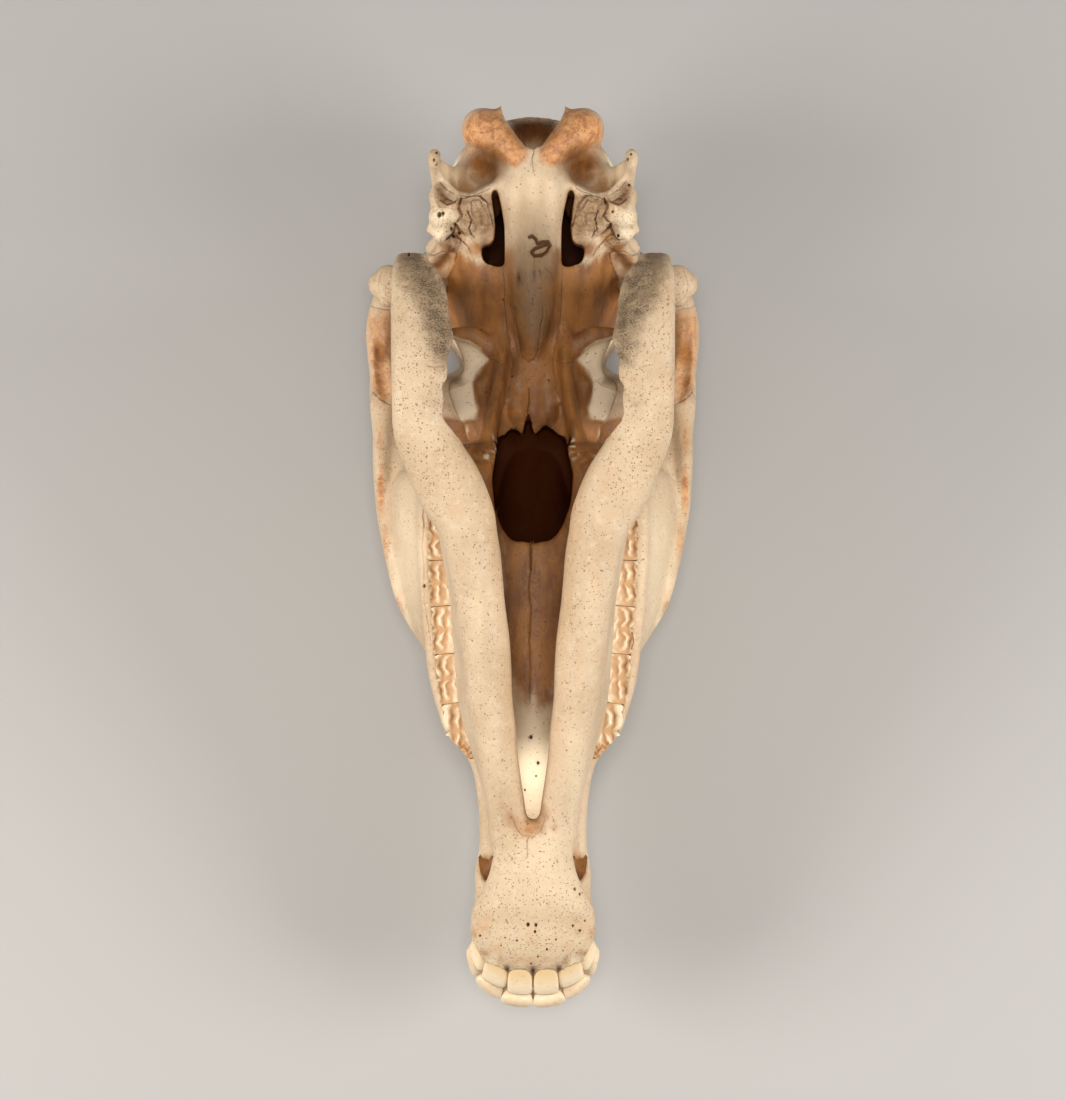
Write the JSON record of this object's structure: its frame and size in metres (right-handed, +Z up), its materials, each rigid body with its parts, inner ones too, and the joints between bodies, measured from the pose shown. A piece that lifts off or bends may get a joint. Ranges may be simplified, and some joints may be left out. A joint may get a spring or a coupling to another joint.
{
  "type": "zebra skull",
  "caption": "Dry plains zebra skull with lower jaw and worn teeth, lying upside down on forehead and nose, with open orbits, arches and nasal passage.",
  "frame": {"origin": "centre of the bounding box's base, on the surface the skull lies on", "axes": "+Z up; the skull lies upside down, so its underside faces +Z. +Y towards the nape, -Y towards the front teeth, -X the animal's left"},
  "size_m": [0.1998, 0.5384, 0.266],
  "materials": {
    "bone": "dry, slightly porous",
    "enamel": "worn, half gloss"
  },
  "bodies": {
    "root": {"cranium": "bone", "lower_jaw": "bone", "upper_incisor_1_left": "enamel", "upper_incisor_2_left": "enamel", "upper_incisor_3_left": "enamel", "upper_premolar_2_left": "enamel", "upper_premolar_3_left": "enamel", "upper_premolar_4_left": "enamel", "upper_molar_1_left": "enamel", "upper_molar_2_left": "enamel", "upper_molar_3_left": "enamel", "upper_incisor_1_right": "enamel", "upper_incisor_2_right": "enamel", "upper_incisor_3_right": "enamel", "upper_premolar_2_right": "enamel", "upper_premolar_3_right": "enamel", "upper_premolar_4_right": "enamel", "upper_molar_1_right": "enamel", "upper_molar_2_right": "enamel", "upper_molar_3_right": "enamel", "lower_incisor_1_left": "enamel", "lower_incisor_2_left": "enamel", "lower_incisor_3_left": "enamel", "lower_premolar_2_left": "enamel", "lower_premolar_3_left": "enamel", "lower_premolar_4_left": "enamel", "lower_molar_1_left": "enamel", "lower_molar_2_left": "enamel", "lower_molar_3_left": "enamel", "lower_incisor_1_right": "enamel", "lower_incisor_2_right": "enamel", "lower_incisor_3_right": "enamel", "lower_premolar_2_right": "enamel", "lower_premolar_3_right": "enamel", "lower_premolar_4_right": "enamel", "lower_molar_1_right": "enamel", "lower_molar_2_right": "enamel", "lower_molar_3_right": "enamel"}
  },
  "joints": []
}
